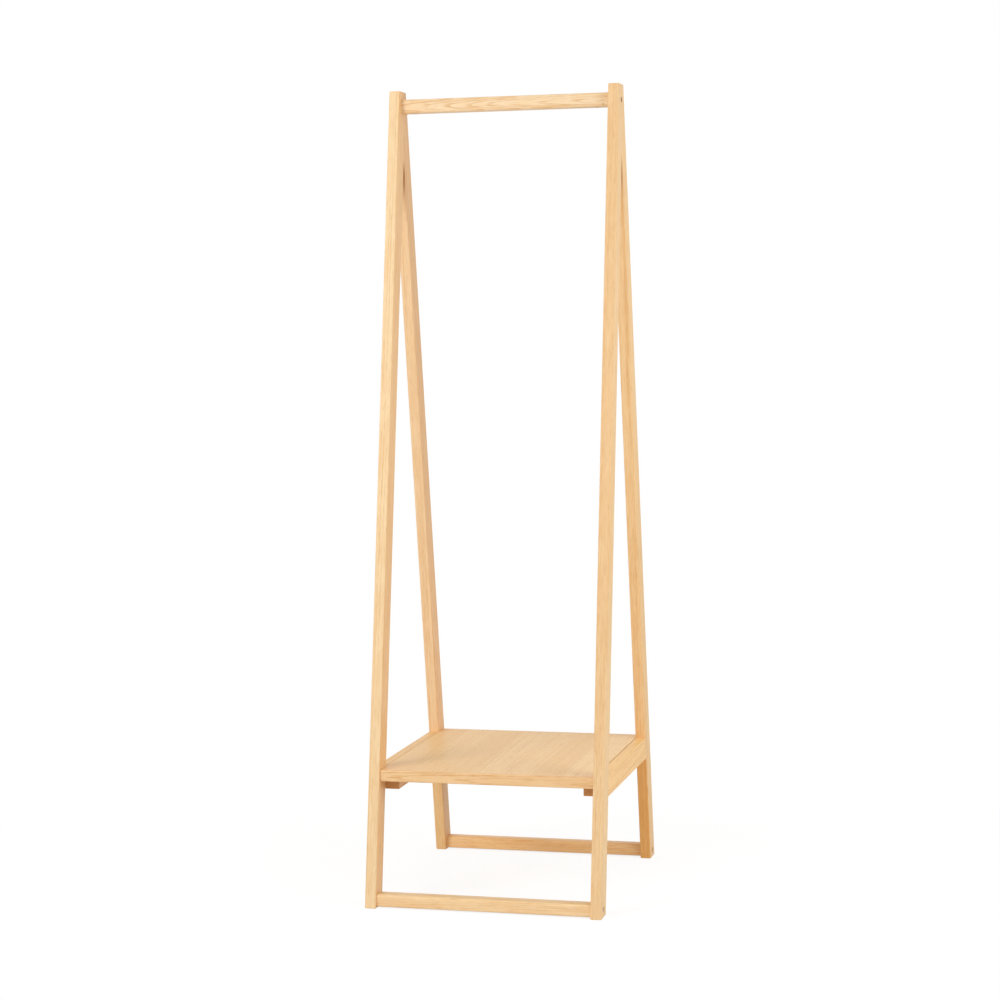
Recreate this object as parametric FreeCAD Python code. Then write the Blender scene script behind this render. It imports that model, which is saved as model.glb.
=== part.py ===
import FreeCAD, Part
import math
import os
from FreeCAD import Vector

# Coat rack of solid wood: two glued A-frames, drawn together by a hanging bar and two low stretchers
# that are bolted between them, with a veneered shelf screwed down on cleats.
# Millimetres, +Z up. The front is towards -Y and the left towards -X.
# The origin is on the floor, under the middle of the rack.

# Overall size
rack_height = 1600.0
rack_width = 470.0
rack_depth = 560.0

# Legs: straight bars whose broad faces look to the sides, mitred together at the top
leg_thickness = 22.0
leg_width = 44.0
leg_edge_radius = 2.0
leg_end_radius = 1.0
mitre_length = 138.0

# Hanging bar
bar_height = 28.0
bar_depth = 30.0
bar_edge_radius = 5.0
bar_drop = 16.5

# Stretchers between the feet, a little outside the middle of the legs
stretcher_height = 24.5
stretcher_depth = 30.0
stretcher_upper_radius = 6.0
stretcher_lower_radius = 3.0
stretcher_lift = 2.5
stretcher_shift = 3.0

# Shelf rails, in the plane of the legs
rail_height = 44.0
rail_thickness = 21.0
rail_edge_radius = 2.0

# Shelf: a core board between two veneers, with a solid lipping on its front and rear edges
shelf_height = 264.0
shelf_thickness = 22.0
shelf_side_gap = 0.2
shelf_setback = 2.5
veneer_thickness = 1.0
lipping_depth = 8.0
lipping_edge_radius = 2.0

# Cleats that carry the shelf, screwed to the rails
cleat_width = 28.0
cleat_end_gap = 3.0
cleat_edge_radius = 1.0

# Connector bolts with a hexagon socket, and the washers under their heads
bolt_diameter = 6.0
bolt_head_diameter = 10.0
bolt_head_height = 6.0
bolt_socket_width = 5.0
bolt_socket_depth = 3.0
bolt_edge = 0.5
bolt_recess = 1.0
bolt_projection = 4.0
washer_margin = 0.5
washer_thickness = 1.6

# Barrel nuts, entered from below
barrel_nut_diameter = 10.0
barrel_nut_length = 14.0
barrel_nut_inset = 26.0
barrel_nut_slot_width = 1.4
barrel_nut_slot_depth = 1.5

# Wooden dowels
locating_dowel_diameter = 5.0
locating_dowel_bite = 10.0
bar_dowel_drop = 9.0
stretcher_dowel_offset = 10.0
rail_dowel_diameter = 8.0
rail_dowel_leg_bite = 20.0
rail_dowel_rail_bite = 20.0
rail_dowel_spacing = 20.0
apex_dowel_diameter = 8.0
apex_dowel_bite = 20.0
apex_dowel_count = 2
dowel_edge = 0.8

# Wood screws with countersunk heads
screw_diameter = 4.0
screw_head_diameter = 8.0
screw_tip_length = 5.0
cleat_screw_bite = 12.0
shelf_screw_bite = 13.0
screw_recess_width = 1.0
screw_recess_span = 3.8
screw_recess_depth = 1.4
cleat_screw_spacing = 130.0
cleat_screw_count = 3
shelf_screw_spacing = 130.0
shelf_screw_count = 2

# Clearances
bolt_clearance = 0.25
washer_clearance = 0.25
thread_clearance = 0.05
nut_clearance = 0.1
glue_gap = 0.05
hole_end_room = 1.0

# Directions
left, right = -1, 1
front, rear = -1, 1
origin = Vector(0, 0, 0)
x_axis = Vector(1, 0, 0)
y_axis = Vector(0, 1, 0)
z_axis = Vector(0, 0, 1)
tolerance = 0.01

# The outer face of a leg meets the floor at the rack's edge, and its inner face meets the middle plane
# at the foot of the mitre. Both together give the lean.
mitre_foot = rack_height - mitre_length
foot_to_mitre = math.hypot(rack_depth / 2, mitre_foot)
lean = math.acos(leg_width / foot_to_mitre) - math.atan2(mitre_foot, rack_depth / 2)
leg_level_width = leg_width / math.cos(lean)


def outer_face_y(height):
    """Distance from the middle plane to a leg's outer face at a height."""
    return rack_depth / 2 - height * math.tan(lean)


def inner_face_y(height):
    """Distance from the middle plane to a leg's inner face at a height."""
    return outer_face_y(height) - leg_level_width


# Places across the rack
outer_x = rack_width / 2
inner_x = outer_x - leg_thickness
leg_middle_x = outer_x - leg_thickness / 2
rail_inner_x = leg_middle_x - rail_thickness / 2
cleat_inner_x = rail_inner_x - cleat_width
cleat_middle_x = rail_inner_x - cleat_width / 2

# Heights
bar_bottom = rack_height - bar_drop - bar_height
bar_middle_z = bar_bottom + bar_height / 2
stretcher_middle_z = stretcher_lift + stretcher_height / 2
rail_bottom = shelf_height - rail_height
rail_middle_z = rail_bottom + rail_height / 2
shelf_bottom = shelf_height - shelf_thickness
core_bottom = shelf_bottom + veneer_thickness
core_top = shelf_height - veneer_thickness
cleat_height = shelf_bottom - rail_bottom
cleat_middle_z = rail_bottom + cleat_height / 2

# Places from front to rear
foot_bolt_y = outer_face_y(stretcher_middle_z) - leg_level_width / 2
stretcher_middle_y = foot_bolt_y + stretcher_shift
shelf_half_width = inner_x - shelf_side_gap
shelf_half_depth = outer_face_y(shelf_height) - shelf_setback
core_half_depth = shelf_half_depth - lipping_depth
cleat_half_length = inner_face_y(rail_bottom) - cleat_end_gap

# Depths along a bolt, from the outer face of the leg inwards
washer_diameter = bolt_head_diameter + 2 * washer_margin
bolt_seat = bolt_recess + bolt_head_height
counterbore_depth = bolt_seat + washer_thickness
barrel_nut_depth = leg_thickness + barrel_nut_inset
bolt_end = barrel_nut_depth + barrel_nut_diameter / 2 + bolt_projection


# Plain shapes

def edges_along(shape, direction):
    """The straight edges of a shape that run in one direction."""
    lines = [edge for edge in shape.Edges if isinstance(edge.Curve, Part.Line)]
    return [edge for edge in lines if edge.Curve.Direction.cross(direction).Length < tolerance]


def eased_bar(breadth, depth, length, radius):
    """A bar along +Z on the origin with its four long edges rounded."""
    bar = Part.makeBox(breadth, depth, length, Vector(-breadth / 2, -depth / 2, 0))
    return bar.makeFillet(radius, edges_along(bar, z_axis))


def centred_box(size_x, size_y, size_z, centre):
    """A box by its size and its middle."""
    return Part.makeBox(size_x, size_y, size_z, centre - Vector(size_x, size_y, size_z) * 0.5)


def cylinder(diameter, start, end):
    """A cylinder between two points."""
    return Part.makeCylinder(diameter / 2, (end - start).Length, start, end - start)


def dowel(diameter, length):
    """A dowel along +Z, centred on the origin, with bevelled ends."""
    pin = cylinder(diameter, z_axis * (-length / 2), z_axis * (length / 2))
    rims = [edge for edge in pin.Edges if isinstance(edge.Curve, Part.Circle)]
    return pin.makeChamfer(dowel_edge, rims)


def along_x(shape):
    """Turn a shape made along +Z so that it runs along +X."""
    return shape.rotated(origin, y_axis, 90)


def along_y(shape):
    """Turn a shape made along +Z so that it runs along +Y."""
    return shape.rotated(origin, x_axis, -90)


def turned_inward(shape, side, y, z):
    """Turn a shape made along +Z so that it runs in from the outer face of the leg on one side."""
    return shape.rotated(origin, y_axis, -90 * side).translated(Vector(side * outer_x, y, z))


def spread(count, spacing):
    """Evenly spaced places about zero."""
    return [(index - (count - 1) / 2) * spacing for index in range(count)]


def drilled(member, holes):
    """Cut the holes that reach into a member."""
    near = [hole for hole in holes if hole.BoundBox.intersect(member.BoundBox)]
    return member.cut(near).removeSplitter()


# Connectors: one bolt, washer, barrel nut and dowel at each end of the bar and of both stretchers

def connector_bolt():
    """A bolt along +Z, whose depth is counted from the leg's outer face."""
    head = cylinder(bolt_head_diameter, z_axis * bolt_recess, z_axis * bolt_seat)
    top_rim = [edge for edge in head.Edges if edge.BoundBox.ZMax < bolt_seat]
    corner = Vector(bolt_socket_width / math.sqrt(3), 0, bolt_recess)
    hexagon = Part.makePolygon([FreeCAD.Rotation(z_axis, 60 * index) * corner for index in range(7)])
    socket = Part.Face(hexagon).extrude(z_axis * bolt_socket_depth)
    shank = cylinder(bolt_diameter, z_axis * bolt_seat, z_axis * bolt_end)
    end_rim = [edge for edge in shank.Edges if edge.BoundBox.ZMin > bolt_seat]
    bolt = head.makeChamfer(bolt_edge, top_rim).cut(socket)
    return bolt.fuse(shank.makeChamfer(bolt_edge, end_rim)).removeSplitter()


def connector_washer():
    """The flat washer between a bolt's head and the floor of its counterbore."""
    faces = z_axis * bolt_seat, z_axis * counterbore_depth
    return cylinder(washer_diameter, *faces).cut(cylinder(bolt_diameter + 2 * bolt_clearance, *faces))


def barrel_nut():
    """An upright barrel nut, tapped along X through its middle and slotted below."""
    reach = x_axis * barrel_nut_diameter
    half_length = z_axis * (barrel_nut_length / 2)
    barrel = cylinder(barrel_nut_diameter, -half_length, half_length)
    thread = cylinder(bolt_diameter + 2 * thread_clearance, -reach, reach)
    slot_middle = z_axis * (barrel_nut_slot_depth / 2) - half_length
    slot = centred_box(2 * reach.Length, barrel_nut_slot_width, barrel_nut_slot_depth, slot_middle)
    return barrel.cut([thread, slot])


class Connector:
    """One bolted joint between the legs on one side and a bar that butts against them."""

    def __init__(self, side, y, z, dowel_y, dowel_z, bar_underside):
        nut_middle = Vector(side * (outer_x - barrel_nut_depth), y, z)
        dowel_middle = Vector(side * inner_x, y + dowel_y, z + dowel_z)
        locating_dowel = along_x(dowel(locating_dowel_diameter, 2 * locating_dowel_bite))
        self.bolt = turned_inward(connector_bolt(), side, y, z)
        self.washer = turned_inward(connector_washer(), side, y, z)
        self.nut = barrel_nut().translated(nut_middle)
        self.dowel = locating_dowel.translated(dowel_middle)

        counterbore = cylinder(washer_diameter + 2 * washer_clearance, origin, z_axis * counterbore_depth)
        bolt_hole_ends = z_axis * counterbore_depth, z_axis * (bolt_end + hole_end_room)
        bolt_hole = cylinder(bolt_diameter + 2 * bolt_clearance, *bolt_hole_ends)
        dowel_reach = x_axis * (locating_dowel_bite + hole_end_room)
        dowel_ends = dowel_middle - dowel_reach, dowel_middle + dowel_reach
        nut_mouth = Vector(nut_middle.x, y, bar_underside)
        nut_top = nut_middle + z_axis * (barrel_nut_length / 2)
        self.holes = [
            turned_inward(counterbore, side, y, z),
            turned_inward(bolt_hole, side, y, z),
            cylinder(locating_dowel_diameter + 2 * glue_gap, *dowel_ends),
            cylinder(barrel_nut_diameter + 2 * nut_clearance, nut_mouth, nut_top),
        ]


connectors = []
for side in (left, right):
    connectors.append(Connector(side, 0, bar_middle_z, 0, -bar_dowel_drop, bar_bottom))
    for end in (front, rear):
        bolt_place = end * foot_bolt_y, stretcher_middle_z
        connectors.append(
            Connector(side, *bolt_place, end * stretcher_dowel_offset, 0, stretcher_lift)
        )
connector_holes = [hole for connector in connectors for hole in connector.holes]

# Glued dowels along Y: across each mitre below the bar, and in both ends of each rail
apex_step = (bar_bottom - mitre_foot) / (apex_dowel_count + 1)
apex_dowel_length = 2 * apex_dowel_bite
rail_dowel_length = rail_dowel_leg_bite + rail_dowel_rail_bite
apex_places = []
rail_dowel_places = []
for side in (left, right):
    for index in range(apex_dowel_count):
        apex_places.append(Vector(side * leg_middle_x, 0, mitre_foot + apex_step * (index + 1)))
    for offset in spread(2, rail_dowel_spacing):
        height = rail_middle_z + offset
        middle_y = inner_face_y(height) + rail_dowel_leg_bite - rail_dowel_length / 2
        for end in (front, rear):
            rail_dowel_places.append(Vector(side * leg_middle_x, end * middle_y, height))


def dowels_along_y(diameter, length, places):
    """A dowel along Y at each place."""
    return [along_y(dowel(diameter, length)).translated(place) for place in places]


def dowel_holes_along_y(diameter, length, places):
    """The holes for dowels along Y, with room past both ends."""
    reach = y_axis * (length / 2 + hole_end_room)
    return [cylinder(diameter + 2 * glue_gap, place - reach, place + reach) for place in places]


dowel_holes = dowel_holes_along_y(apex_dowel_diameter, apex_dowel_length, apex_places)
dowel_holes += dowel_holes_along_y(rail_dowel_diameter, rail_dowel_length, rail_dowel_places)


# Wood screws: through the cleats into the rails, and up through the cleats into the shelf

def wood_screw(length):
    """A screw along +Z with the top of its head at the origin."""
    shank_radius = screw_diameter / 2
    head_radius = screw_head_diameter / 2
    shank_start = z_axis * (head_radius - shank_radius)
    shank_end = z_axis * (length - screw_tip_length)
    head = Part.makeCone(head_radius, shank_radius, shank_start.Length)
    tip = Part.makeCone(shank_radius, 0, screw_tip_length, shank_end)
    body = head.fuse([cylinder(screw_diameter, shank_start, shank_end), tip]).removeSplitter()
    recess_middle = z_axis * (screw_recess_depth / 2)
    recess = centred_box(screw_recess_span, screw_recess_width, screw_recess_depth, recess_middle)
    return body.cut([recess, recess.rotated(origin, z_axis, 90)])


def screw_hole(length):
    """The countersunk hole for a wood screw along +Z."""
    shank_radius = screw_diameter / 2 + thread_clearance
    head_radius = screw_head_diameter / 2 + thread_clearance
    sink = Part.makeCone(head_radius, shank_radius, head_radius - shank_radius)
    return sink.fuse(Part.makeCylinder(shank_radius, length + hole_end_room))


def out_through_cleats(shape):
    """Copies of a shape made along +Z that run out through the cleats into the rails."""
    copies = []
    for side in (left, right):
        for y in spread(cleat_screw_count, cleat_screw_spacing):
            start = Vector(side * cleat_inner_x, y, cleat_middle_z)
            copies.append(shape.rotated(origin, y_axis, 90 * side).translated(start))
    return copies


def up_through_cleats(shape):
    """Copies of a shape made along +Z that run up through the cleats into the shelf."""
    copies = []
    for side in (left, right):
        for y in spread(shelf_screw_count, shelf_screw_spacing):
            copies.append(shape.translated(Vector(side * cleat_middle_x, y, rail_bottom)))
    return copies


cleat_screw_length = cleat_width + cleat_screw_bite
shelf_screw_length = cleat_height + shelf_screw_bite
screw_holes = out_through_cleats(screw_hole(cleat_screw_length))
screw_holes += up_through_cleats(screw_hole(shelf_screw_length))


# Wooden members

def leg(side, end):
    """One leg, cut level at the floor and at the top, and mitred on the middle plane."""
    rough_length = rack_height / math.cos(lean) + 2 * leg_width
    bar = eased_bar(leg_thickness, leg_width, rough_length, leg_edge_radius)
    bar = bar.translated(z_axis * -leg_width).rotated(origin, x_axis, end * math.degrees(lean))
    bar = bar.translated(Vector(side * leg_middle_x, end * (rack_depth - leg_level_width) / 2, 0))
    half_middle = Vector(0, end * rack_depth / 2, rack_height / 2)
    bar = bar.common(centred_box(2 * rack_width, rack_depth, rack_height, half_middle))
    level_edges = [edge for edge in bar.Edges if edge.BoundBox.ZLength < tolerance]
    end_edges = [edge for edge in level_edges if abs(edge.CenterOfMass.y) > tolerance]
    return drilled(bar.makeFillet(leg_end_radius, end_edges), connector_holes + dowel_holes)


def shelf_rail(side):
    """One rail, its ends cut to the lean of the legs that it stands between."""
    first_x = side * leg_middle_x - rail_thickness / 2
    low = inner_face_y(rail_bottom)
    high = inner_face_y(shelf_height)
    outline = [(-low, rail_bottom), (low, rail_bottom), (high, shelf_height), (-high, shelf_height)]
    corners = [Vector(first_x, y, z) for y, z in outline + outline[:1]]
    rail = Part.Face(Part.makePolygon(corners)).extrude(x_axis * rail_thickness)
    rail = rail.makeFillet(rail_edge_radius, edges_along(rail, y_axis))
    return drilled(rail, dowel_holes + screw_holes)


def cross_bar(depth, height, upper_radius, lower_radius, y, z):
    """A bar along X that butts against the inner faces of the legs, drilled for its connectors."""
    bar = centred_box(2 * inner_x, depth, height, Vector(0, y, z))
    for corner_z, radius in ((z + height / 2, upper_radius), (z - height / 2, lower_radius)):
        long_edges = edges_along(bar, x_axis)
        corners = [edge for edge in long_edges if abs(edge.CenterOfMass.z - corner_z) < tolerance]
        bar = bar.makeFillet(radius, corners)
    return drilled(bar, connector_holes)


def stretcher(end):
    """One of the two bars between the feet."""
    radii = stretcher_upper_radius, stretcher_lower_radius
    place = end * stretcher_middle_y, stretcher_middle_z
    return cross_bar(stretcher_depth, stretcher_height, *radii, *place)


def shelf_cleat(side):
    """One cleat along the inner face of its rail, level with the rail's lower edge."""
    cleat = along_y(eased_bar(cleat_width, cleat_height, 2 * cleat_half_length, cleat_edge_radius))
    place = Vector(side * cleat_middle_x, -cleat_half_length, cleat_middle_z)
    return drilled(cleat.translated(place), screw_holes)


def shelf_layer(bottom, top):
    """One layer of the shelf board, between its two lippings."""
    middle = z_axis * ((bottom + top) / 2)
    layer = centred_box(2 * shelf_half_width, 2 * core_half_depth, top - bottom, middle)
    return drilled(layer, screw_holes)


def shelf_lipping(end):
    """The solid strip on one edge of the shelf, with its outer edges rounded."""
    middle_y = end * (shelf_half_depth - lipping_depth / 2)
    middle = Vector(0, middle_y, shelf_bottom + shelf_thickness / 2)
    strip = centred_box(2 * shelf_half_width, lipping_depth, shelf_thickness, middle)
    long_edges = edges_along(strip, x_axis)
    outer_edges = [edge for edge in long_edges if end * (edge.CenterOfMass.y - middle_y) > 0]
    return strip.makeFillet(lipping_edge_radius, outer_edges)


nodes = {
    "front_left_leg": leg(left, front),
    "front_right_leg": leg(right, front),
    "rear_left_leg": leg(left, rear),
    "rear_right_leg": leg(right, rear),
    "left_shelf_rail": shelf_rail(left),
    "right_shelf_rail": shelf_rail(right),
    "hanging_bar": cross_bar(bar_depth, bar_height, bar_edge_radius, bar_edge_radius, 0, bar_middle_z),
    "front_stretcher": stretcher(front),
    "rear_stretcher": stretcher(rear),
    "left_shelf_cleat": shelf_cleat(left),
    "right_shelf_cleat": shelf_cleat(right),
    "shelf_bottom_veneer": shelf_layer(shelf_bottom, core_bottom),
    "shelf_core": shelf_layer(core_bottom, core_top),
    "shelf_top_veneer": shelf_layer(core_top, shelf_height),
    "shelf_front_lipping": shelf_lipping(front),
    "shelf_rear_lipping": shelf_lipping(rear),
    "apex_dowels": dowels_along_y(apex_dowel_diameter, apex_dowel_length, apex_places),
    "rail_dowels": dowels_along_y(rail_dowel_diameter, rail_dowel_length, rail_dowel_places),
    "locating_dowels": [connector.dowel for connector in connectors],
    "connector_bolts": [connector.bolt for connector in connectors],
    "connector_washers": [connector.washer for connector in connectors],
    "barrel_nuts": [connector.nut for connector in connectors],
    "cleat_screws": out_through_cleats(wood_screw(cleat_screw_length)),
    "shelf_screws": up_through_cleats(wood_screw(shelf_screw_length)),
}

os.makedirs("parts", exist_ok=True)
for name, shape in nodes.items():
    if isinstance(shape, list):
        shape = Part.makeCompound(shape)
    shape.exportStep(f"parts/{name}.step")
    print(f"{name}: {len(shape.Solids)} solids, {shape.Volume / 1000:.2f} cm3, valid {shape.isValid()}")
print(f"lean {math.degrees(lean):.3f} degrees, bolt length under the head {bolt_end - bolt_seat:.1f} mm")
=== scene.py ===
# %% [markdown]
# # A coat rack of pale wood
# The rack is two A-frames of solid wood, drawn together by a hanging bar at the top and two low stretchers,
# with a veneered shelf between them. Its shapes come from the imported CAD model, in metres, with the floor
# at z = 0 and the front towards -Y. This file gives every piece its finish, swaps the small turned pieces
# for more detailed ones, and sets up the floor, the light and the camera of a plain studio picture.

# %% Load the frame
import math
import bmesh
import bpy
from mathutils import Matrix, Vector


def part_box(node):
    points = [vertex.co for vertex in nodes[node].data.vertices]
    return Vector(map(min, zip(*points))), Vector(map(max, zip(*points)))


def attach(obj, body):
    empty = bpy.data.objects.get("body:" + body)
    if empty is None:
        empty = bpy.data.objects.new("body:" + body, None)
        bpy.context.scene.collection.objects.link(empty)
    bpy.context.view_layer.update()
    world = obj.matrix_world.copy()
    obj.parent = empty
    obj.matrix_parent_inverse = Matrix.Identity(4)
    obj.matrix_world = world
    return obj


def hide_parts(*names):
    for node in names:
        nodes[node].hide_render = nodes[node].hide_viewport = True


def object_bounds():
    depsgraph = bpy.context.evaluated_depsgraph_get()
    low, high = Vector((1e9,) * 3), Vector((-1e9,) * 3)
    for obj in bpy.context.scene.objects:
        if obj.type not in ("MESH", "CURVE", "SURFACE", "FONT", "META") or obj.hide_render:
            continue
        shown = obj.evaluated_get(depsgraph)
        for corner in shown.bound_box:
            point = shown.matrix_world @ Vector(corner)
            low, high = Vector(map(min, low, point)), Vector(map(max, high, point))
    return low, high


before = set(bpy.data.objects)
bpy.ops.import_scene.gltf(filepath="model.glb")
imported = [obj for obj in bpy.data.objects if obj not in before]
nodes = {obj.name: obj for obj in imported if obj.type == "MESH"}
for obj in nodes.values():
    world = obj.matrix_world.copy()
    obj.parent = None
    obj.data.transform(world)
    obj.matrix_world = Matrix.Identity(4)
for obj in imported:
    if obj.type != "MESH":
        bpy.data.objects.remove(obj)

cad_low, cad_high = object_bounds()
cad_size = cad_high - cad_low
print(f"{len(nodes)} CAD nodes, {cad_size.x:.3f} x {cad_size.y:.3f} x {cad_size.z:.3f} m")

# %% [markdown]
# ## Writing nodes as sums
# Wood is described by numbers that change from point to point: the distance from the heart of the tree, the
# share of a year's growth, the chance of a pore. Such sums are easy to read as Python and hard to read as a
# web of nodes. The class below wraps one socket, so that `1 - mask` or `radius / ring` adds the Math node
# it needs. Its method `node` adds any other node: first the settings that decide which sockets the node
# has, then the sockets.

# %% One class for sockets
def sums(operation):
    """The two methods behind an operator: one for `wire - 1`, one for `1 - wire`."""
    def plain(wire, other):
        return wire.math(operation, wire, other)

    def reflected(wire, other):
        return wire.math(operation, other, wire)

    return plain, reflected


class Wire:
    """An output socket of a node tree, or the bare tree before its first node."""

    def __init__(self, tree, socket=None):
        self.tree = tree
        self.socket = socket

    def node(self, kind, settings=None, sockets=None):
        """Add a node and give its first output."""
        made = self.tree.nodes.new(kind)
        for key, value in (settings or {}).items():
            setattr(made, key, value)
        for key, value in (sockets or {}).items():
            target = made.inputs[key] if isinstance(key, int) else named_socket(made.inputs, key)
            if isinstance(value, Wire):
                self.tree.links.new(value.socket, target)
            else:
                target.default_value = value
        usable = [socket for socket in made.outputs if socket.enabled]
        return Wire(self.tree, usable[0] if usable else None)

    def out(self, name):
        """Another output of the node that this socket belongs to."""
        return Wire(self.tree, named_socket(self.socket.node.outputs, name))

    def math(self, operation, *values):
        """Add a Math node."""
        return self.node("ShaderNodeMath", {"operation": operation}, dict(enumerate(values)))

    def __abs__(self):
        return self.math("ABSOLUTE", self)

    __add__, __radd__ = sums("ADD")
    __sub__, __rsub__ = sums("SUBTRACT")
    __mul__, __rmul__ = sums("MULTIPLY")
    __truediv__, __rtruediv__ = sums("DIVIDE")
    __mod__, __rmod__ = sums("FLOORED_MODULO")
    __pow__, __rpow__ = sums("POWER")


def named_socket(sockets, name):
    """The usable socket with that name or identifier."""
    return next(socket for socket in sockets if socket.enabled and name in (socket.name, socket.identifier))


print("sockets can be added, subtracted, multiplied, divided and raised to powers")

# %% [markdown]
# ## Words for patterns
# A few short helpers turn up in every finish: noise that is stretched along one direction, a soft step from
# one value to another, and a mix of two colours. Stretched noise is what makes wood look like wood, because
# fibres and pores are a hundred times longer than they are wide.

# %% Pattern helpers
def stretched(place, across, along):
    """A place whose pattern repeats `across` times per metre sideways and `along` times lengthwise."""
    return place.node("ShaderNodeVectorMath", {"operation": "MULTIPLY"},
                      {0: place, 1: (across, across, along)})


def noise(place, detail=0.0):
    return place.node("ShaderNodeTexNoise", {"noise_dimensions": "3D"},
                      {"Vector": place, "Scale": 1.0, "Detail": detail})


def step(value, start, end, first=0.0, last=1.0):
    """Go softly from `first` to `last` while the value goes from `start` to `end`."""
    return value.node("ShaderNodeMapRange", {"interpolation_type": "SMOOTHSTEP"},
                      {"Value": value, "From Min": start, "From Max": end, "To Min": first, "To Max": last})


def blend(share, first, second, how="MIX"):
    """Mix two colours, each one a socket or three numbers, or multiply the first by the second."""
    first, second = (c if isinstance(c, Wire) else (*c, 1.0) for c in (first, second))
    return share.node("ShaderNodeMix", {"data_type": "RGBA", "blend_type": how},
                      {"Factor_Float": share, "A_Color": first, "B_Color": second})


def tinted(colour, tone):
    """A colour with its red, green and blue each scaled by its own share."""
    return tuple(min(channel * share, 1.0) for channel, share in zip(colour, tone))


def new_finish(name):
    """A material with an empty node tree, and the bare tree to write on."""
    material = bpy.data.materials.new(name)
    material.use_nodes = True
    material.node_tree.nodes.clear()
    return material, Wire(material.node_tree)


def dress(node, material):
    """Give a CAD node one finish all over."""
    nodes[node].data.materials.clear()
    nodes[node].data.materials.append(material)


print("pattern helpers ready")

# %% [markdown]
# ## Pale ring-porous wood
# Such wood lays down a band of coarse pores every spring and denser fibre in summer. A board is a straight
# cut through those nested cylinders, so the honest way to draw its grain is to build the cylinders in space
# and let each face cut them: straight lines where the cut runs along a radius, long arches where it grazes
# a ring, and rings on the ends. A painted picture of grain would have to be unwrapped and would break at
# every corner.
#
# `figure` takes a place measured from the heart of the tree, with its third number along the grain. The
# radius is disturbed by slow noise, because no trunk is a true cylinder, and each year gets its own
# strength. Long streaks and short flecks make the fine lines. Fibres that wave a little catch the light
# unevenly, so the slow tone is broken by a faint mottle.

# %% The figure of the wood
def figure(place, ring):
    """Spring bands, pores, fibres, slow tone and fine lines of wood with rings about `ring` metres apart."""
    parts = place.node("ShaderNodeSeparateXYZ", {}, {"Vector": place})
    across, deep = parts, parts.out("Y")
    drift = noise(stretched(place, across=9.0, along=1.3), detail=1.0)
    ripple = noise(stretched(place, across=70.0, along=5.0), detail=2.0)
    radius = (across * across + deep * deep) ** 0.5 + 0.010 * drift + 0.0016 * ripple
    year = radius / ring
    uneven = place.node("ShaderNodeTexNoise", {"noise_dimensions": "1D"},
                        {"W": year, "Scale": 0.31, "Detail": 0.0})
    year = year + 1.4 * uneven
    growth = year % 1.0
    strength = place.node("ShaderNodeTexWhiteNoise", {"noise_dimensions": "1D"}, {"W": year - growth})
    spring = (step(growth, 0.0, 0.5, 1.0, 0.0) + step(growth, 0.9, 1.0)) * (0.3 + 0.7 * strength)
    pores = step(noise(stretched(place, across=1300.0, along=60.0)), 0.60, 0.70) * (0.22 + 0.78 * spring)
    fibre = noise(stretched(place, across=2600.0, along=34.0), detail=1.0)
    streak = noise(stretched(place, across=190.0, along=2.2), detail=2.0)
    fleck = noise(stretched(place, across=330.0, along=34.0), detail=1.0)
    mottle = noise(stretched(place, across=60.0, along=14.0), detail=2.0)
    lines = 2.4 * (streak - 0.5) + 1.8 * (fleck - 0.5)
    return spring, pores, fibre, drift + 1.4 * (mottle - 0.5), lines


print("figure: spring bands, pores, fibres, slow tone and fine lines")

# %% [markdown]
# The finish on top is a satin clear lacquer. It fills the fibres but not the pores, which stay as fine dull
# grooves, so pores feed the colour, the roughness and the bump together. Ends drink more lacquer and come
# out darker, which the angle between the surface and the grain tells. Each piece has its own tone, as
# boards from different trees do. Some tones, and the tints laid over them, also carry painted shade and
# light, as said where they are set.

# %% Lacquered wood
pale_wood = (0.905, 0.612, 0.318)
spring_wood = (0.770, 0.440, 0.180)
cloud_wood = (0.816, 0.466, 0.191)
pore_brown = (0.480, 0.250, 0.095)
end_brown = (0.552, 0.288, 0.109)
knot_brown = (0.300, 0.155, 0.065)
# Painted shade for the walls of the narrow nook between two legs.
nook_shade_colour = (0.400, 0.090, 0.008)


def lacquered(start, marks, tone, ends=None, knot=None, flanks=(), nook_shade=None, contrast=0.8, cloud=0.30):
    """Write the colour, gloss and relief of lacquered wood, from the marks that `figure` gives."""
    spring, pores, fibre, drift, lines = marks
    grain = contrast * (spring + lines) + 0.30 * (fibre - 0.5)
    colour = blend(grain, tinted(pale_wood, tone), tinted(spring_wood, tone))
    colour = blend(cloud * step(drift, 0.35, 0.70), colour, tinted(cloud_wood, tone))
    colour = blend(0.5 * pores, colour, tinted(pore_brown, tone))
    if ends:
        colour = blend(0.6 * ends, colour, tinted(end_brown, tone))
    # Painted shade and light, laid over the wood's colour as tints.
    for share, shade in flanks:
        colour = blend(share, colour, shade, "MULTIPLY")
    if knot:
        colour = blend(knot, colour, knot_brown)
    # Painted shade on the walls of the nook between two legs.
    if nook_shade:
        colour = blend(nook_shade, colour, nook_shade_colour)
    relief = 0.25 * fibre - 0.8 * pores - 0.2 * spring
    bump = start.node("ShaderNodeBump", {}, {"Strength": 0.35, "Distance": 0.0002, "Height": relief})
    shader = start.node("ShaderNodeBsdfPrincipled", {}, {
        "Base Color": colour, "Roughness": 0.44 + 0.20 * pores + 0.10 * (fibre - 0.5), "Normal": bump,
        "IOR": 1.48, "Specular IOR Level": 0.25, "Coat Weight": 0.04, "Coat Roughness": 0.30,
    })
    start.node("ShaderNodeOutputMaterial", {}, {"Surface": shader})


print("lacquered wood from", pale_wood, "to", spring_wood)
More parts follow.
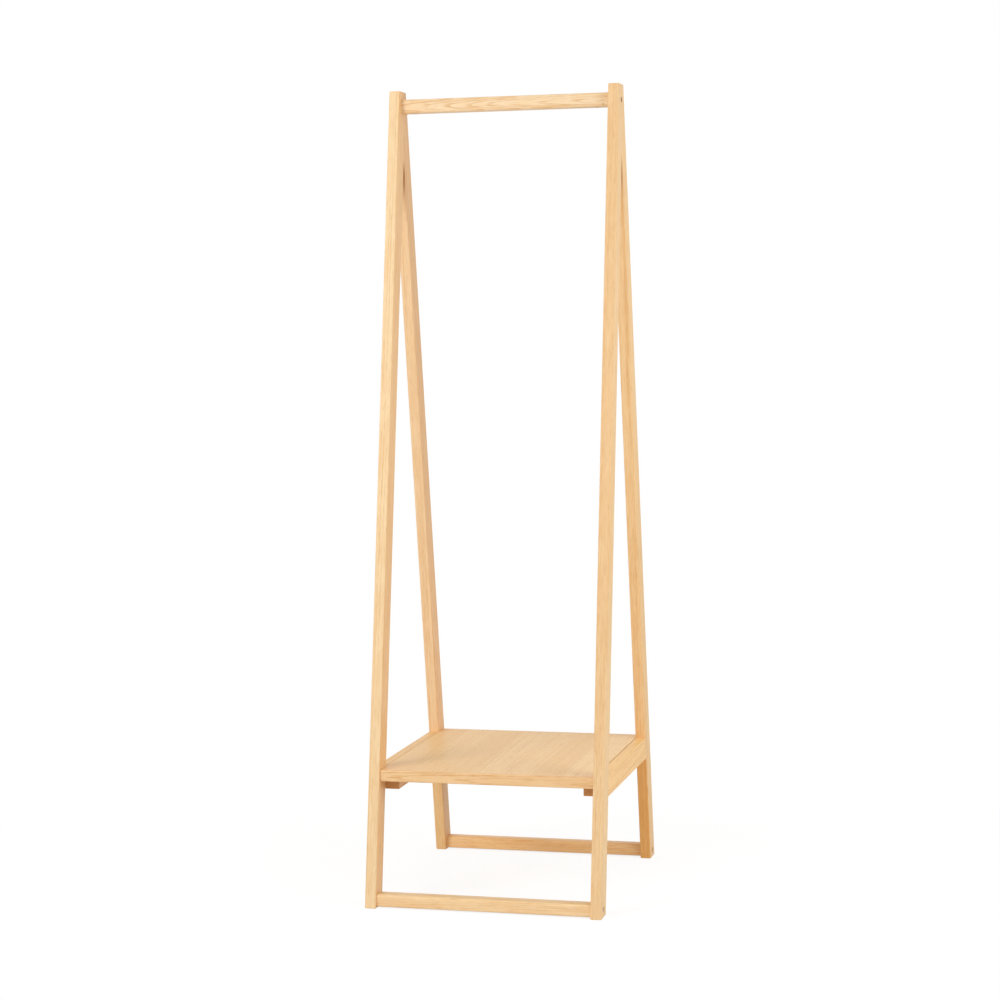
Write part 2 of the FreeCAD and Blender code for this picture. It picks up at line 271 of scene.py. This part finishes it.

# %% [markdown]
# ## Sawing the boards
# Every solid member gets its own cut. `along` is the direction of its length, and so of its grain; `facing`
# is the direction of the face that is looked at most. The heart of the tree lies at `heart`, in millimetres
# from the middle of the board, first along `facing` and then sideways. A heart close behind the face gives
# arches, and a distant one gives straight lines. `ring` is the width of a year in millimetres, and `shift`
# is the board's place along the trunk in metres. `slope` tilts the grain by a few degrees, which draws the
# arches out along the board.
#
# `shade` tints the faces that look along `facing`: on the legs partly the tone of side-cut wood and partly
# painted shade, on the stretchers and cleats painted shade and light. `fade` paints light and shade on the
# front of a rear leg: a warmer tint below the shelf, for the warm light bounced there, and a paler one
# above.

# %% A sawn board
left, right = (-1, 0, 0), (1, 0, 0)
front, back = (0, -1, 0), (0, 1, 0)
shelf_zone = (0.20, 0.27)
knot_edge = (0.0006, 0.0019)
nook_shade_reach = (0.001, 0.013)


def sawn(node, along, facing, heart, ring, tone, shift, slope=0.4, shade=None, fade=None, knot_at=None,
         mitred=False, contrast=0.8):
    """Give a CAD node the finish of a board cut from its own place in a trunk."""
    material, start = new_finish(f"{node}_wood")
    low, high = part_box(node)
    length_axis = Vector(along).normalized()
    face_axis = (Vector(facing) - length_axis * length_axis.dot(Vector(facing))).normalized()
    axes = Matrix((face_axis, length_axis.cross(face_axis), length_axis)).transposed()
    axes = axes @ Matrix.Rotation(math.radians(slope), 3, "Y")
    centre = (low + high) / 2 + axes @ Vector((heart[0] / 1000, heart[1] / 1000, shift))
    space = start.node("ShaderNodeTexCoord")
    place = start.node("ShaderNodeMapping", {"vector_type": "TEXTURE"}, {
        "Vector": space.out("Object"), "Location": centre, "Rotation": axes.to_euler(),
    })

    def turned_to(axis):
        """How far the surface faces along an axis, from -1 to 1."""
        lean = start.node("ShaderNodeVectorMath", {"operation": "DOT_PRODUCT"},
                          {0: space.out("Normal"), 1: axis})
        return lean.out("Value")

    def measured(axis):
        """How far the point lies from the origin along X, Y or Z."""
        return start.node("ShaderNodeSeparateXYZ", {}, {"Vector": space.out("Object")}).out(axis)

    ends = step(abs(turned_to(length_axis)), 0.70, 0.95)
    # Painted shade and light: tints for the faces that look along the facing direction, and for a rear leg's
    # front below the shelf and above it.
    flanks = [(step(abs(turned_to(face_axis)), 0.5, 0.9), shade)] if shade else []
    if fade:
        tint = blend(step(measured("Z"), *shelf_zone), *fade)
        flanks.append((step(turned_to(front), 0.5, 0.9), tint))
    knot = None
    if knot_at:
        distance = start.node("ShaderNodeVectorMath", {"operation": "DISTANCE"},
                              {0: space.out("Object"), 1: knot_at})
        knot = step(distance.out("Value"), *knot_edge, 1.0, 0.0)
    # Painted shade in the nook below the mitre, darker where the legs come close to each other.
    nook_shade = None
    if mitred:
        closeness = step(abs(measured("Y")), *nook_shade_reach, 1.0, 0.0)
        nook_shade = closeness * step(abs(turned_to(back)), 0.3, 0.8)
    lacquered(start, figure(place, ring / 1000), tone, ends, knot, flanks, nook_shade, contrast)
    dress(node, material)
    print(f"{node}: rings about {ring} mm apart, heart {heart[0]} mm and {heart[1]} mm off")


print("boards can be sawn")

# %% [markdown]
# ### The legs and rails of the A-frames
# The legs are straight-grained stock, because a slanting fibre would split there. The two legs of an
# A-frame lean towards each other, so their grain meets in a V at the mitre, and that is the only sign of
# the glued joint. Below it they part in a narrow nook that hardly any light reaches. Its walls get painted
# shade, darker the closer they are to each other, which the distance from the middle plane tells.

# %% Legs and rails
leg_lean = math.radians(9.148)
front_grain = (0.0, math.sin(leg_lean), math.cos(leg_lean))
rear_grain = (0.0, -math.sin(leg_lean), math.cos(leg_lean))
# The side tints of the legs are partly the tone of side-cut wood and partly painted shade. The tints of the
# rear legs' fronts below and above the shelf are painted light and shade.
sawn("front_left_leg", front_grain, right, heart=(-95, 60), ring=2.8, tone=(1.01, 1.09, 1.21),
     shift=1.7, slope=0.5, shade=(1.0, 0.89, 0.75), mitred=True, contrast=0.65)
sawn("front_right_leg", front_grain, right, heart=(-120, 70), ring=2.3, tone=(0.97, 0.985, 1.02),
     shift=5.2, slope=0.3, shade=(0.975, 0.975, 0.90), mitred=True)
sawn("rear_left_leg", rear_grain, right, heart=(80, -90), ring=2.5, tone=(1.01, 1.05, 1.14),
     shift=9.1, slope=0.4, shade=(0.97, 0.88, 0.79), mitred=True,
     fade=((1.02, 0.96, 0.82), (1.0, 1.0, 1.03)))
sawn("rear_right_leg", rear_grain, right, heart=(-70, -110), ring=2.6, tone=(0.99, 0.925, 0.83),
     shift=13.4, slope=0.6, shade=(0.96, 1.0, 0.99), mitred=True,
     fade=((1.06, 0.92, 0.67), (0.96, 1.01, 1.10)))
sawn("left_shelf_rail", back, left, heart=(-90, 40), ring=2.4, tone=(1.0, 0.97, 0.88),
     shift=3.3, slope=0.8)
sawn("right_shelf_rail", back, right, heart=(-80, 55), ring=2.9, tone=(1.02, 0.96, 0.755),
     shift=7.7, slope=0.7)

# %% [markdown]
# ### The hanging bar
# The bar shows the liveliest figure: nested tongues that point to the left along its front, and a small pin
# knot near its right end. That is a cut close to the heart, with the grain sloping by about two degrees, so
# the heart comes nearer to the front face from left to right.

# %% Hanging bar
sawn("hanging_bar", right, front, heart=(0, 1.5), ring=1.7, tone=(1.02, 1.13, 1.36),
     shift=2.4, slope=1.8, knot_at=(0.2011, -0.0150, 1.5603), contrast=1.25)

# %% [markdown]
# ### Stretchers and cleats
# The stretchers are a little thinner than the bar and rounder along their upper edges. The front
# stretcher's top is darkened with painted shade, and the rear stretcher's lighter, warmer tone is painted
# light, for the warm light under the shelf. The cleats under the shelf are hidden from most sides and are
# cut from plainer wood; their darker tone is painted shade from the shelf, and their inner faces are tinted
# lighter with painted light.

# %% Stretchers and cleats
# Painted shade: the darker tone, with front and back lifted again by the face tint, darkens the front
# stretcher's top.
sawn("front_stretcher", right, front, heart=(-70, 52), ring=2.0, tone=(0.96, 1.08, 1.22),
     shift=11.8, slope=0.5, shade=(1.09, 1.02, 0.98))
# Painted light: the rear stretcher's lighter, warmer tone stands for the warm light under the shelf.
sawn("rear_stretcher", right, front, heart=(-60, 44), ring=2.2, tone=(1.14, 1.09, 1.05),
     shift=15.5, slope=0.6)
# Painted shade and light: the cleats' darker tone is the shelf's shade, and their inner faces are tinted
# lighter.
for node, inward, shift in (("left_shelf_cleat", right, 17.9), ("right_shelf_cleat", left, 19.3)):
    sawn(node, back, inward, heart=(-75, 35), ring=2.8, tone=(0.92, 0.78, 0.64),
         shift=shift, shade=(1.08, 1.12, 1.15))

# %% [markdown]
# ### The shelf
# The shelf is a board with a thin veneer on both sides and a strip of solid wood on its front and rear
# edges. The veneer is laid in leaves that run from front to back, each from another part of the log, so the
# top shows broad bands of slightly different tone. The strips run across, with long flat arches. The leaves
# are found by counting how many leaf widths a point lies from the edge; the count then picks each leaf's
# tone and its part of the log.

# %% Shelf lippings and veneers
for node, outward, shift in (("shelf_front_lipping", front, 4.6), ("shelf_rear_lipping", back, 8.8)):
    sawn(node, right, outward, heart=(-18, 4), ring=2.4, tone=(0.99, 0.97, 0.97),
         shift=shift, slope=0.9, contrast=1.1)
leaf_width = 0.0605
leaf_ring = 0.0030


def veneered(node, tone, shift):
    """Leaves of straight-grained veneer that run from front to back."""
    material, start = new_finish(f"{node}_leaves")
    low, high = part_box(node)
    place = start.node("ShaderNodeTexCoord").out("Object")
    parts = start.node("ShaderNodeSeparateXYZ", {}, {"Vector": place})
    leaves = (parts - low.x) / leaf_width
    on_leaf = leaves % 1.0
    leaf = start.node("ShaderNodeTexWhiteNoise", {"noise_dimensions": "1D"}, {"W": leaves - on_leaf + shift})
    chance = start.node("ShaderNodeSeparateColor", {}, {"Color": leaf.out("Color")})
    fan = parts.out("Y") * (0.05 * chance - 0.025)
    log = start.node("ShaderNodeCombineXYZ", {}, {
        "X": 0.16 + 0.06 * chance.out("Green") + parts + fan, "Y": parts.out("Z"),
        "Z": parts.out("Y") + 9.0 * chance.out("Blue"),
    })
    spring, pores, fibre, drift, lines = figure(log, leaf_ring)
    marks = spring, pores, fibre, 0.30 + 0.55 * chance.out("Blue") + 0.2 * (drift - 0.5), lines
    lacquered(start, marks, tone, contrast=0.6, cloud=0.42)
    dress(node, material)
    print(f"{node}: {math.ceil((high.x - low.x) / leaf_width)} leaves of {leaf_width * 1000:.0f} mm")


veneered("shelf_top_veneer", tone=(1.02, 1.06, 1.08), shift=3.0)
veneered("shelf_bottom_veneer", tone=(0.96, 0.95, 0.93), shift=40.0)

# %% [markdown]
# Inside the shelf is a pressed board of wood chips. Only its narrow sides lie open, in the thin gap beside
# the rails. A Voronoi pattern splits space into cells, and its random colour per cell gives each chip its
# own brown.

# %% Shelf core
def chip_board(name):
    material, start = new_finish(name)
    place = start.node("ShaderNodeTexCoord").out("Object")
    chip_place = stretched(place, across=260.0, along=700.0)
    chips = start.node("ShaderNodeTexVoronoi", {}, {"Vector": chip_place, "Scale": 1.0})
    chance = start.node("ShaderNodeSeparateColor", {}, {"Color": chips.out("Color")})
    dust = noise(stretched(place, across=2500.0, along=2500.0))
    colour = blend(0.7 * chance + 0.3 * dust, (0.72, 0.52, 0.32), (0.42, 0.27, 0.14))
    bump = start.node("ShaderNodeBump", {}, {"Strength": 0.4, "Distance": 0.0004, "Height": dust - chips})
    shader = start.node("ShaderNodeBsdfPrincipled", {}, {
        "Base Color": colour, "Roughness": 0.75 + 0.2 * dust, "Normal": bump,
    })
    start.node("ShaderNodeOutputMaterial", {}, {"Surface": shader})
    return material


dress("shelf_core", chip_board("pressed_chips"))
print("shelf_core: pressed wood chips")

# %% [markdown]
# ## Plated steel
# The bolts, washers, barrel nuts and screws are cheap turned steel with a thin plating. Plating is never
# even: it clouds slightly and is dotted with fine specks. Both feed the colour, the roughness and the bump.

# %% Plated steel finishes
def plated(name, bright, dull, roughness):
    material, start = new_finish(name)
    place = start.node("ShaderNodeTexCoord").out("Object")
    cloud = noise(stretched(place, across=420.0, along=420.0), detail=2.0)
    specks = step(noise(stretched(place, across=3800.0, along=3800.0)), 0.62, 0.74)
    colour = blend(step(cloud, 0.35, 0.68) * 0.7 + 0.3 * specks, bright, dull)
    relief = cloud - 0.5 * specks
    bump = start.node("ShaderNodeBump", {}, {"Strength": 0.15, "Distance": 0.0001, "Height": relief})
    shader = start.node("ShaderNodeBsdfPrincipled", {}, {
        "Base Color": colour, "Metallic": 1.0, "Normal": bump,
        "Roughness": roughness + 0.22 * cloud + 0.15 * specks,
    })
    start.node("ShaderNodeOutputMaterial", {}, {"Surface": shader})
    return material


dark_plating = plated("dark_zinc_plating", bright=(0.44, 0.44, 0.45), dull=(0.30, 0.29, 0.28),
                      roughness=0.26)
bright_plating = plated("bright_zinc_plating", bright=(0.68, 0.67, 0.64), dull=(0.52, 0.51, 0.48),
                        roughness=0.24)
yellow_plating = plated("yellow_passivated_plating", bright=(0.74, 0.62, 0.36), dull=(0.60, 0.46, 0.22),
                        roughness=0.26)
for node, plating in (("connector_washers", dark_plating), ("barrel_nuts", bright_plating)):
    dress(node, plating)
    print(f"{node}: {plating.name}")

# %% [markdown]
# ## Turned pieces
# Bolts, screws and dowels are all round bars with rules: a hexagon or a cross sunk into the head, ridges
# along the side, a thread round the shank. The node tree below turns any such piece from a line of rings.
# It lays out a grid, reads each row's radius and height from the line, bends the rows into circles and then
# applies the rules by angle. Points on the mesh that carries the tree say where the pieces stand, with the
# direction they head in. The grid's seam and its two poles are closed by merging, and the copies are made
# real so that the export keeps them.

# %% The turning tree
not_quite_zero = 1e-4
seam_width = 2e-6


def turning_tree():
    tree = bpy.data.node_groups.new("turned_pieces", "GeometryNodeTree")
    for name, kind in (
        ("Places", "Geometry"), ("Rings", "Object"), ("Steps", "Int"), ("Cross Recess", "Bool"),
        ("Cross Width", "Float"), ("Ridges", "Int"), ("Ridge Depth", "Float"), ("Thread Pitch", "Float"),
        ("Thread Depth", "Float"), ("Seed", "Int"), ("Finish", "Material"),
    ):
        tree.interface.new_socket(name, in_out="INPUT", socket_type=f"NodeSocket{kind}")
    tree.interface.new_socket("Pieces", in_out="OUTPUT", socket_type="NodeSocketGeometry")
    start = Wire(tree)
    given = start.node("NodeGroupInput")
    line = start.node("GeometryNodeObjectInfo", {}, {"Object": given.out("Rings")}).out("Geometry")
    rows = start.node("GeometryNodeAttributeDomainSize", {"component": "MESH"}, {"Geometry": line})
    grid = start.node("GeometryNodeMeshGrid", {}, {"Vertices X": given.out("Steps") + 1, "Vertices Y": rows})
    index = start.node("GeometryNodeInputIndex")
    row = index % rows
    angle = (index - row) / rows * (2 * math.pi) / given.out("Steps")

    def read(name):
        """A number that is stored on the rings, for this row."""
        value = start.node("GeometryNodeInputNamedAttribute", {"data_type": "FLOAT"}, {"Name": name})
        return start.node("GeometryNodeSampleIndex", {"data_type": "FLOAT", "domain": "POINT"},
                          {"Geometry": line, "Value": value, "Index": row})

    sine = abs(start.math("SINE", angle)) + not_quite_zero
    cosine = abs(start.math("COSINE", angle)) + not_quite_zero
    hexagon = 1 / start.math("COSINE", (angle + math.pi / 6) % (math.pi / 3) - math.pi / 6)
    width = given.out("Cross Width")
    level_arms = start.math("MINIMUM", 1 / cosine, width / sine)
    upright_arms = start.math("MINIMUM", width / cosine, 1 / sine)
    cross = start.math("MAXIMUM", level_arms, upright_arms)
    recess = start.node("GeometryNodeSwitch", {"input_type": "FLOAT"},
                        {"Switch": given.out("Cross Recess"), "False": hexagon, "True": cross})
    height = read("height")
    turn = (height / given.out("Thread Pitch") - angle / (2 * math.pi)) % 1.0
    radius = read("radius") * (1 + read("recessed") * (recess - 1))
    ridge = 0.5 - 0.5 * start.math("COSINE", angle * given.out("Ridges"))
    radius = radius - read("ridged") * given.out("Ridge Depth") * ridge
    radius = radius - read("threaded") * given.out("Thread Depth") * (1 - 2 * abs(turn - 0.5))
    bent = start.node("ShaderNodeCombineXYZ", {}, {
        "X": radius * start.math("COSINE", angle), "Y": radius * start.math("SINE", angle), "Z": height,
    })
    piece = start.node("GeometryNodeSetPosition", {}, {"Geometry": grid, "Position": bent})
    piece = start.node("GeometryNodeMergeByDistance", {}, {"Geometry": piece, "Distance": seam_width})

    heading = start.node("GeometryNodeInputNamedAttribute", {"data_type": "FLOAT_VECTOR"},
                         {"Name": "heading"})
    aim = start.node("FunctionNodeAlignRotationToVector", {"axis": "Z"}, {"Vector": heading})
    spin = start.node("FunctionNodeRandomValue", {"data_type": "FLOAT"},
                      {"Min": 0.0, "Max": math.pi, "ID": index, "Seed": given.out("Seed")})
    spin = start.node("FunctionNodeAxisAngleToRotation", {}, {"Axis": (0.0, 0.0, 1.0), "Angle": spin})
    aim = start.node("FunctionNodeRotateRotation", {"rotation_space": "LOCAL"},
                     {"Rotation": aim, "Rotate By": spin})
    copies = start.node("GeometryNodeInstanceOnPoints", {},
                        {"Points": given.out("Places"), "Instance": piece, "Rotation": aim})
    real = start.node("GeometryNodeRealizeInstances", {}, {"Geometry": copies})
    done = start.node("GeometryNodeSetMaterial", {}, {"Geometry": real, "Material": given.out("Finish")})
    start.node("NodeGroupOutput", {}, {"Pieces": done})
    return tree


turning = turning_tree()
print(f"turning tree: {len(turning.nodes)} nodes")

# %% [markdown]
# Where each piece stands is read from the CAD model: a node holds several solids, and each solid's box
# gives its middle and its length. The detailed piece then fills the same box. The solids are sorted by
# their place, so that each piece gets the same random turn about its axis in every run.

# %% Places
def solids_of(node):
    """Lowest and highest corner of each separate solid in a CAD node, sorted by place to 0.1 mm."""
    copy = bmesh.new()
    copy.from_mesh(nodes[node].data)
    bmesh.ops.remove_doubles(copy, verts=copy.verts, dist=1e-6)
    waiting = set(copy.verts)
    found = []
    while waiting:
        group = []
        edge_of_group = [waiting.pop()]
        while edge_of_group:
            vertex = edge_of_group.pop()
            group.append(vertex.co)
            for edge in vertex.link_edges:
                other = edge.other_vert(vertex)
                if other in waiting:
                    waiting.remove(other)
                    edge_of_group.append(other)
        low, high = (Vector(pick(co[axis] for co in group) for axis in range(3)) for pick in (min, max))
        found.append((low, high))
    copy.free()
    return sorted(found, key=lambda corners: [round(number, 4) for number in corners[0]])


def line_object(name, points, **numbers):
    """A mesh of points joined in a line, with numbers stored on them."""
    mesh = bpy.data.meshes.new(name)
    mesh.from_pydata(points, [(i, i + 1) for i in range(len(points) - 1)], [])
    for key, values in numbers.items():
        kind, field = "FLOAT", "value"
        if isinstance(values[0], Vector):
            kind, field = "FLOAT_VECTOR", "vector"
            values = [number for vector in values for number in vector]
        mesh.attributes.new(key, kind, "POINT").data.foreach_set(field, values)
    made = bpy.data.objects.new(name, mesh)
    bpy.context.scene.collection.objects.link(made)
    return made


for node in ("connector_bolts", "cleat_screws"):
    print(f"{node}: {len(solids_of(node))} solids")

# %% [markdown]
# One call of `turned` makes a whole set. Sizes that a set doesn't need stay at zero.

# %% Turned sets
sharp_edge = math.radians(32)


def turned(name, node, heading_of, rings, finish, sizes):
    """Turn a piece from its rings, stand a copy in each solid of a CAD node, and replace the node."""
    solids = [((low + high) / 2, high - low) for low, high in solids_of(node)]
    headings = [Vector(heading_of(middle)) for middle, size in solids]
    starts = [middle - heading * abs(size.dot(heading)) / 2
              for (middle, size), heading in zip(solids, headings)]
    kinds = ("radius", "height", "recessed", "ridged", "threaded")
    columns = {kind: [ring[i] for ring in rings] for i, kind in enumerate(kinds)}
    line = line_object(f"{name}_rings", [(ring[0], 0.0, ring[1]) for ring in rings], **columns)
    host = line_object(name, starts, heading=headings)
    modifier = host.modifiers.new("turning", "NODES")
    modifier.node_group = turning
    inputs = {item.name: item.identifier for item in turning.interface.items_tree if item.in_out == "INPUT"}
    for key, value in {**sizes, "Rings": line, "Finish": finish}.items():
        modifier[inputs[key]] = value
    graph = bpy.context.evaluated_depsgraph_get()
    mesh = bpy.data.meshes.new_from_object(host.evaluated_get(graph), depsgraph=graph)
    host.modifiers.remove(modifier)
    bpy.data.objects.remove(line)
    mesh.shade_smooth()
    mesh.set_sharp_from_angle(angle=sharp_edge)
    host.data = mesh
    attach(host, "root")
    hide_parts(node)
    length, cad_length = rings[-1][1] * 1000, max(solids[0][1]) * 1000
    print(f"{name}: {len(starts)} pieces, {len(mesh.polygons)} faces")
    print(f"each {length:.1f} mm long, in the CAD model {cad_length:.1f} mm")


# %% [markdown]
# ### Connector bolts
# Six socket bolts hold the bar and the stretchers. Each has a ridged round head with a six-sided socket, a
# plain shank in the leg and a fine thread where it enters its barrel nut. Ring by ring, the line runs from
# the floor of the socket up to the top of the head, down its side and along the shank to the tip. Each ring
# is radius and height, then how much of the recess, ridge and thread rules it takes.

# %% Connector bolts
rings_per_turn = 8
bolt_pitch = 1.0


def mm(rings):
    """Rings in metres, from radius and height in millimetres."""
    return [(radius / 1000, height / 1000, *rules) for radius, height, *rules in rings]


def threaded_rings(first, last, pitch, radius_at):
    """Rings close enough together to carry a thread."""
    count = round((last - first) / pitch * rings_per_turn)
    heights = [first + (last - first) * i / count for i in range(count + 1)]
    return [(radius_at(height), height, 0, 0, 1) for height in heights]


bolt_rings = mm([
    (0, 3.0, 0, 0, 0), (2.5, 3.0, 1, 0, 0), (2.5, 0.2, 1, 0, 0), (2.7, 0, 1, 0, 0), (4.5, 0, 0, 0, 0),
    (4.8, 0.15, 0, 0, 0), (5.0, 0.5, 0, 0, 0), (5.0, 0.8, 0, 1, 0), (5.0, 5.4, 0, 1, 0), (5.0, 5.7, 0, 0, 0),
    (4.8, 6.0, 0, 0, 0), (3.3, 6.0, 0, 0, 0), (3.0, 6.3, 0, 0, 0), (3.0, 35.6, 0, 0, 0),
    *threaded_rings(36.0, 55.4, bolt_pitch, lambda height: 3.0),
    (2.5, 56.0, 0, 0, 0), (0, 56.0, 0, 0, 0),
])
bolt_sizes = {"Steps": 72, "Ridges": 36, "Ridge Depth": 0.00022, "Thread Pitch": bolt_pitch / 1000,
              "Thread Depth": 0.0005, "Seed": 4}
turned("socket_bolts", "connector_bolts", lambda middle: (-math.copysign(1, middle.x), 0, 0),
       bolt_rings, dark_plating, bolt_sizes)

# %% [markdown]
# ### Wood screws
# Countersunk screws hold the cleats to the rails and the shelf to the cleats. Their recess is a cross that
# narrows with depth, their thread is coarse, and the last few millimetres run out to a point.

# %% Wood screws
screw_pitch = 1.8
plain_share = 0.36


def screw_rings(length):
    plain = length * plain_share

    def shank(height):
        return min(2.0, 0.25 + (length - height) * 0.35)

    return mm([
        (0, 1.4, 0, 0, 0), (0.9, 1.4, 1, 0, 0), (1.9, 0, 1, 0, 0), (3.8, 0, 0, 0, 0), (4.0, 0.12, 0, 0, 0),
        (2.1, 2.0, 0, 0, 0), (1.9, 2.4, 0, 0, 0), (1.9, plain, 0, 0, 0),
        *threaded_rings(plain + 0.4, length - 0.6, screw_pitch, shank),
        (0.1, length, 0, 0, 0), (0, length, 0, 0, 0),
    ])


screw_sizes = {"Steps": 40, "Cross Recess": True, "Cross Width": 0.26, "Thread Pitch": screw_pitch / 1000,
               "Thread Depth": 0.00055}
turned("cleat_wood_screws", "cleat_screws", lambda middle: (math.copysign(1, middle.x), 0, 0),
       screw_rings(length=40.0), yellow_plating, {**screw_sizes, "Seed": 11})
turned("shelf_wood_screws", "shelf_screws", lambda middle: (0, 0, 1),
       screw_rings(length=35.0), yellow_plating, {**screw_sizes, "Seed": 12})

# %% [markdown]
# ### Dowels
# Dowels are turned from plain hardwood with grooves along them, so that air and spare glue can leave the
# hole. The same tree makes all three sizes. Their wood has its grain along the dowel and small dark flecks.

# %% Dowels
dowel_bevel = 0.8
groove_start = dowel_bevel + 0.4
dowel_ring = 0.0035
dowel_heart = (0.031, 0.047, 0.052)


def dowel_wood(name, along):
    material, start = new_finish(name)
    axes = Vector((0, 0, 1)).rotation_difference(Vector(along)).to_euler()
    place = start.node("ShaderNodeMapping", {"vector_type": "TEXTURE"}, {
        "Vector": start.node("ShaderNodeTexCoord").out("Object"), "Location": dowel_heart, "Rotation": axes,
    })
    lacquered(start, figure(place, dowel_ring), tone=(0.86, 0.86, 0.86), contrast=0.5)
    return material


def dowel_rings(diameter, length):
    radius = diameter / 2
    tip = radius - dowel_bevel
    return mm([
        (0, 0, 0, 0, 0), (tip, 0, 0, 0, 0), (radius, dowel_bevel, 0, 0, 0),
        (radius, groove_start, 0, 1, 0), (radius, length - groove_start, 0, 1, 0),
        (radius, length - dowel_bevel, 0, 0, 0), (tip, length, 0, 0, 0), (0, length, 0, 0, 0),
    ])


lengthwise = dowel_wood("dowel_wood_front_to_back", back)
crosswise = dowel_wood("dowel_wood_side_to_side", right)
for name, node, heading, diameter, length, ridges, wood in (
    ("fluted_apex_dowels", "apex_dowels", back, 8.0, 40.0, 20, lengthwise),
    ("fluted_rail_dowels", "rail_dowels", back, 8.0, 40.0, 20, lengthwise),
    ("fluted_locating_dowels", "locating_dowels", right, 5.0, 20.0, 16, crosswise),
):
    turned(name, node, lambda middle, heading=heading: heading, dowel_rings(diameter, length), wood,
           {"Steps": 80, "Ridges": ridges, "Ridge Depth": 0.0003, "Seed": 20})

# %% [markdown]
# ## Floor and background
# The picture has a white ground with no visible horizon. The floor answers the camera and mirror-like rays
# with a mix of its own light and a plain white surface, so it is white but still darkens under the rack;
# all other rays see an ordinary white floor, which throws soft light up under the shelf. Far from the rack
# it fades to pure white. Seen from below it lets the view through, so that the underside can be looked at.

# %% Floor and world
shaded_reach = (0.6, 1.3)


def grey(level):
    return level, level, level, 1.0


def seen_rays(start):
    """1 for rays from the camera, from mirror-like surfaces and through clear ones, else 0."""
    rays = start.node("ShaderNodeLightPath")
    direct = start.math("MAXIMUM", rays.out("Is Camera Ray"), rays.out("Is Glossy Ray"))
    return start.math("MAXIMUM", direct, rays.out("Is Transmission Ray"))


def studio_floor(size, drop, plain_level, catcher_level, own_light):
    bpy.ops.mesh.primitive_grid_add(size=size, x_subdivisions=8, y_subdivisions=8, location=(0, 0, -drop))
    floor = bpy.context.object
    floor.name = "studio_floor"
    material, start = new_finish("studio_floor_white")
    plain = start.node("ShaderNodeBsdfDiffuse", {}, {"Color": grey(plain_level)})
    catcher = start.node("ShaderNodeBsdfDiffuse", {}, {"Color": grey(catcher_level)})
    glow = start.node("ShaderNodeEmission", {}, {"Color": grey(1.0), "Strength": own_light})
    far = start.node("ShaderNodeEmission", {}, {"Color": grey(1.0), "Strength": 1.0})
    near = start.node("ShaderNodeAddShader", {}, {0: catcher, 1: glow})
    place = start.node("ShaderNodeTexCoord").out("Object")
    distance = start.node("ShaderNodeVectorMath", {"operation": "LENGTH"}, {0: place}).out("Value")
    ground = start.node("ShaderNodeMixShader", {}, {0: step(distance, *shaded_reach), 1: near, 2: far})
    above = start.node("ShaderNodeMixShader", {}, {0: seen_rays(start), 1: plain, 2: ground})
    from_camera = start.node("ShaderNodeLightPath").out("Is Camera Ray")
    below = start.node("ShaderNodeNewGeometry").out("Backfacing") * from_camera
    through = start.node("ShaderNodeBsdfTransparent")
    surface = start.node("ShaderNodeMixShader", {}, {0: below, 1: above, 2: through})
    start.node("ShaderNodeOutputMaterial", {}, {"Surface": surface})
    floor.data.materials.append(material)


def white_world(strength):
    world = bpy.data.worlds.new("white_studio")
    world.use_nodes = True
    world.node_tree.nodes.clear()
    start = Wire(world.node_tree)
    light = start.node("ShaderNodeBackground", {}, {"Color": grey(1.0), "Strength": strength})
    backdrop = start.node("ShaderNodeBackground", {}, {"Color": grey(1.0), "Strength": 1.0})
    mix = start.node("ShaderNodeMixShader", {}, {0: seen_rays(start), 1: light, 2: backdrop})
    start.node("ShaderNodeOutputWorld", {}, {"Surface": mix})
    bpy.context.scene.world = world


studio_floor(size=16.0, drop=0.0002, plain_level=0.80, catcher_level=0.20, own_light=0.845)
white_world(strength=0.56)
bpy.context.scene.view_settings.view_transform = "Standard"
print("white floor and world")

# %% [markdown]
# ## Light
# The main light is a large soft lamp to the front and left, a little above the rack: fronts are bright, and
# the front left leg lays a soft shadow on the shelf. A second soft lamp stands close on the right and
# lights the outer faces of the right A-frame, and a weak one overhead lights the shelf. The white
# surroundings fill the rest.

# %% Lamps
def soft_lamp(name, place, target, size, power):
    lamp = bpy.data.lights.new(name, "AREA")
    lamp.shape, lamp.size, lamp.energy = "SQUARE", size, power
    made = bpy.data.objects.new(name, lamp)
    made.location = place
    made.rotation_euler = (Vector(target) - Vector(place)).to_track_quat("-Z", "Y").to_euler()
    bpy.context.scene.collection.objects.link(made)
    print(f"{name}: {power} W, {size} m wide, at {place}")


soft_lamp("front_left_softbox", place=(-2.1, -2.9, 2.05), target=(0, 0, 0.7), size=1.5, power=56.0)
soft_lamp("right_softbox", place=(1.8, -0.5, 1.25), target=(0.1, 0, 0.7), size=1.3, power=16.0)
soft_lamp("top_softbox", place=(-0.4, -0.5, 3.3), target=(0, 0, 0.3), size=1.6, power=6.0)

# %% [markdown]
# ## Camera
# The picture is taken from the front and a little to the right, at chest height, with a long lens. It was
# cropped off centre, so the lens is shifted slightly. The values were found by laying the edges of the
# model over the photograph and moving the camera until they agreed. The angles are in radians.

# %% Camera
picture_pixels = 1000.0
focal_pixels = 2347.5
sensor_mm = 36.0
camera_place = (1.13629, -4.57952, 1.15256)
yaw, pitch, roll = 0.24770, -0.06500, -0.01369
lens_shift = -0.034
camera_data = bpy.data.cameras.new("camera")
camera_data.sensor_width = sensor_mm
camera_data.lens = focal_pixels * sensor_mm / picture_pixels
camera_data.shift_y = lens_shift
camera = bpy.data.objects.new("camera", camera_data)
camera.matrix_world = (
    Matrix.Translation(camera_place) @ Matrix.Rotation(yaw, 4, "Z")
    @ Matrix.Rotation(math.pi / 2 + pitch, 4, "X") @ Matrix.Rotation(roll, 4, "Z")
)
bpy.context.scene.collection.objects.link(camera)
bpy.context.scene.camera = camera
print(f"camera: {camera_data.lens:.1f} mm lens")
